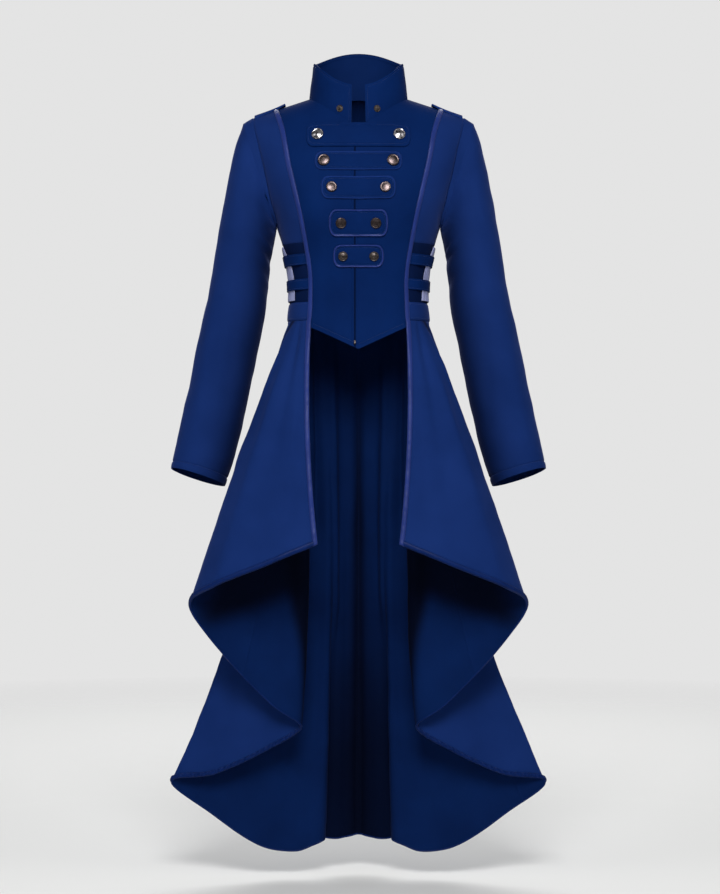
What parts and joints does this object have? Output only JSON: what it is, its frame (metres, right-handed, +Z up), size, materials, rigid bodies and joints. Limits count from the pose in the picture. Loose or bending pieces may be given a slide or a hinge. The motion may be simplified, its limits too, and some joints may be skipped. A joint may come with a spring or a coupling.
{
  "type": "high-low tailcoat",
  "caption": "Fitted long-sleeved coat with a standing collar, buttoned tabs over its closure, side straps and a flared skirt short in front and long behind.",
  "frame": {"origin": "between the wearer's shoulders, level with the side of the neck, on the coat's middle plane", "axes": "+Z up, the front faces -Y, +X is the wearer's left"},
  "size_m": [0.654, 0.3291, 1.3871],
  "materials": {
    "coat_cloth": "matte brushed twill, navy blue",
    "satin_trim": "satin piping and binding, violet blue",
    "satin_gather": "gathered satin, lilac blue",
    "button_metal": "polished gunmetal"
  },
  "bodies": {
    "root": {"back_left": "coat_cloth", "back_right": "coat_cloth", "back_skirt_left": "coat_cloth", "back_skirt_right": "coat_cloth", "button_1_left": "button_metal", "button_1_right": "button_metal", "button_2_left": "button_metal", "button_2_right": "button_metal", "button_3_left": "button_metal", "button_3_right": "button_metal", "button_4_left": "button_metal", "button_4_right": "button_metal", "button_5_left": "button_metal", "button_5_right": "button_metal", "collar": "coat_cloth", "collar_button_left": "button_metal", "collar_button_right": "button_metal", "epaulette_left": "coat_cloth", "epaulette_right": "coat_cloth", "front_left": "coat_cloth", "front_right": "coat_cloth", "front_skirt_left": "coat_cloth", "front_skirt_right": "coat_cloth", "hem_binding_left": "satin_trim", "hem_binding_right": "satin_trim", "piping_left": "satin_trim", "piping_right": "satin_trim", "satin_side_left": "satin_gather", "satin_side_right": "satin_gather", "side_front_left": "coat_cloth", "side_front_right": "coat_cloth", "side_inset_left": "coat_cloth", "side_inset_right": "coat_cloth", "side_skirt_left": "coat_cloth", "side_skirt_right": "coat_cloth", "strap_1_left": "coat_cloth", "strap_1_right": "coat_cloth", "strap_2_left": "coat_cloth", "strap_2_right": "coat_cloth", "tab_1": "coat_cloth", "tab_2": "coat_cloth", "tab_3": "coat_cloth", "tab_4": "coat_cloth", "tab_5": "coat_cloth", "top_sleeve_left": "coat_cloth", "top_sleeve_right": "coat_cloth", "under_sleeve_left": "coat_cloth", "under_sleeve_right": "coat_cloth", "waist_band_left": "coat_cloth", "waist_band_right": "coat_cloth", "zip_end": "button_metal"}
  },
  "joints": []
}
